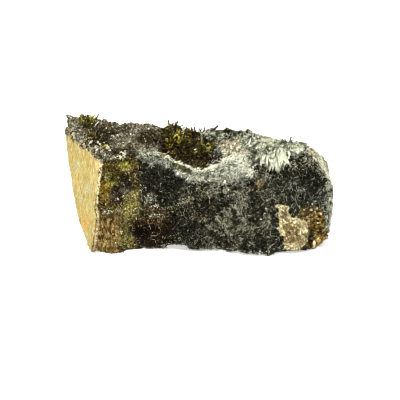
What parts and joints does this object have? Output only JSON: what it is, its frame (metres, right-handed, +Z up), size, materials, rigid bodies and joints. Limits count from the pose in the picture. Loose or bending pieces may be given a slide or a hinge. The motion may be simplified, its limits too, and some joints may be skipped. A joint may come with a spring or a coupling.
{
  "type": "epidote crystal cluster",
  "caption": "Mineral specimen: a broken block of dark host rock with a flat cleaved end, olive epidote crystals on its hollowed top, a white fibre fringe, a cream lump and a brown pocket.",
  "frame": {"origin": "under the middle of the specimen's box, on the surface that it rests on", "axes": "+X along the specimen to the right of the face that is shown, away from the flat cleaved end; +Y away from the viewer; +Z up"},
  "size_m": [0.0634, 0.0344, 0.0261],
  "materials": {
    "host_rock": "rough broken grey-green rock under a felt of fine pale fibres, with one flat buff cleaved end",
    "olive_epidote": "glossy olive to yellow-green crystal faces",
    "brown_epidote": "glossy brown-olive crystal faces",
    "amber_crystal": "glassy amber-brown stained crystal faces",
    "cream_feldspar": "sugary cream mineral with small bright faces",
    "white_fibre": "matted white to pale green mineral fibres"
  },
  "bodies": {
    "root": {"matrix": "host_rock", "epidote_spray": "olive_epidote", "epidote_basin_crust": "brown_epidote", "pocket_crust": "amber_crystal", "feldspar_lump": "cream_feldspar", "byssolite_fringe": "white_fibre"}
  },
  "joints": []
}
